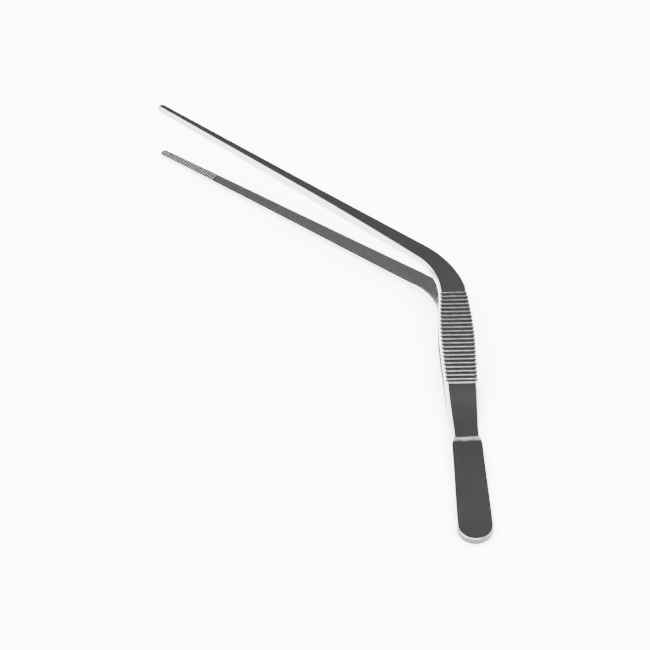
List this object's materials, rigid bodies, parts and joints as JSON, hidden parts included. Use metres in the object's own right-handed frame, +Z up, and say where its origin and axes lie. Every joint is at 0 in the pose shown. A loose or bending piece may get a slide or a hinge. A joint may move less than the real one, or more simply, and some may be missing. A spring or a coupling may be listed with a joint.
{
  "type": "aquascaping tweezers",
  "caption": "Knee-bent steel tweezers: arms welded at a flat heel, thin spring leaves, grooved grips, and long slim jaws with fine teeth at the tips.",
  "frame": {"origin": "on the table, under the middle of the bounding box of the tweezers as they lie flat with the jaws open", "axes": "+Z up from the table; +Y from the heel along the handle towards the knee; the jaws bend off to -X. The tool's mid-plane rises towards the tips by 3.44 degrees, because the lower tip, the lower knee and the heel's rear end stand on the table"},
  "size_m": [0.0889, 0.1597, 0.0216],
  "materials": {
    "upper_steel": "satin polished stainless spring steel",
    "lower_steel": "satin polished stainless spring steel",
    "weld_steel": "ground weld bead, finer and a little duller than the strip"
  },
  "bodies": {
    "heel": {"upper_heel_tab": "upper_steel", "lower_heel_tab": "lower_steel", "heel_weld": "weld_steel", "upper_spring_leaf": "upper_steel", "lower_spring_leaf": "lower_steel"},
    "upper_jaw": {"upper_arm": "upper_steel"},
    "lower_jaw": {"lower_arm": "lower_steel"}
  },
  "joints": [
    {"name": "upper_arm_flex", "type": "hinge", "parent": "heel", "child": "upper_jaw", "pos_m": [0.03924, -0.03651, 0.00509], "axis": [-1, 0, 0], "range_deg": [0, 4.75], "stiffness_Nm_per_rad": 1.5, "deforming": ["upper_spring_leaf"]},
    {"name": "lower_arm_flex", "type": "hinge", "parent": "heel", "child": "lower_jaw", "pos_m": [0.03924, -0.03636, 0.0026], "axis": [1, 0, 0], "range_deg": [0, 4.75], "stiffness_Nm_per_rad": 1.5, "deforming": ["lower_spring_leaf"]}
  ],
  "couplings": [
    {"joint": "lower_arm_flex", "follows": "upper_arm_flex", "ratio": 1}
  ]
}
